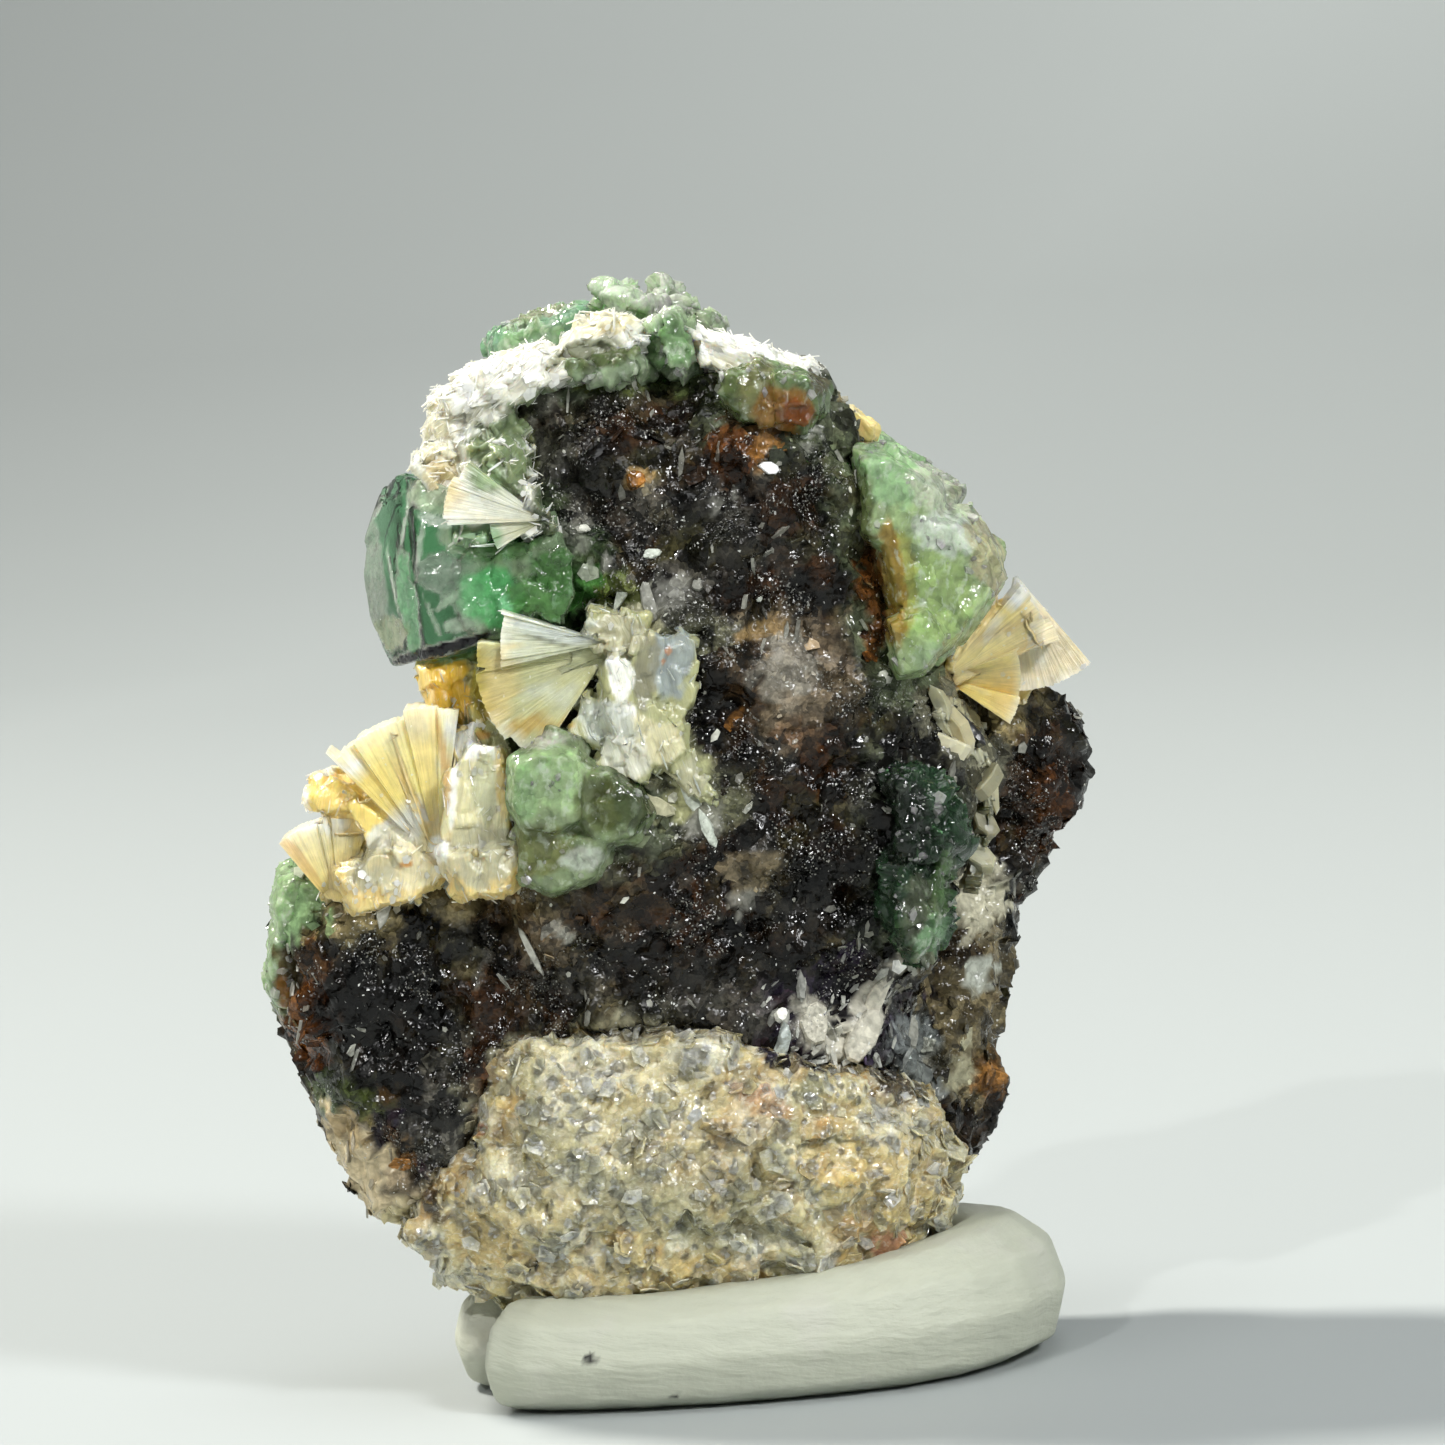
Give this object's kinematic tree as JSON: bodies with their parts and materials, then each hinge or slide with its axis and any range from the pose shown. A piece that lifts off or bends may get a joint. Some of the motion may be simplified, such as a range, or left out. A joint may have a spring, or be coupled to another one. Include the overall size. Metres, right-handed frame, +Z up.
{
  "type": "mineral specimen of fluorite on muscovite",
  "caption": "Upright hand specimen: green fluorite crystals and golden muscovite fans on dark mica rock with a pale granular foot, held in a ring of mineral tack.",
  "frame": {"origin": "middle of the whole object's footprint, on the surface that the tack rests on", "axes": "+Z up, along the specimen's height; -Y towards the display side; +X to the right as seen from the display side"},
  "size_m": [0.0334, 0.0201, 0.0439],
  "materials": {
    "granular_rock": "pale granular muscovite and quartz with silky scales",
    "dark_mica_rock": "dark glittering mica rock with rust-brown stains",
    "greenish_muscovite": "silky greenish cream mica leaves that radiate",
    "golden_muscovite": "golden yellow mica fans with a pearly lustre",
    "white_muscovite": "white to cream fibrous mica with a pearly lustre",
    "clear_fluorite": "clear sea-green to emerald crystal with a glassy lustre",
    "green_fluorite": "pale to mid green, part clear crystal with a glassy lustre",
    "mineral_tack": "matt grey-white putty with finger-rolled striations"
  },
  "bodies": {
    "root": {"granular_base": "granular_rock", "mica_rock": "dark_mica_rock", "muscovite_centre_fan": "greenish_muscovite", "muscovite_left_fans": "golden_muscovite", "muscovite_upper_left": "white_muscovite", "muscovite_top": "white_muscovite", "muscovite_right_fans": "golden_muscovite", "muscovite_right_plates": "white_muscovite", "muscovite_small_book": "golden_muscovite", "fluorite_left": "clear_fluorite", "fluorite_top": "green_fluorite", "fluorite_top_left": "green_fluorite", "fluorite_top_right": "green_fluorite", "fluorite_right": "green_fluorite", "fluorite_middle": "green_fluorite", "fluorite_left_edge": "green_fluorite", "fluorite_right_edge": "green_fluorite", "putty_ring": "mineral_tack"}
  },
  "joints": []
}
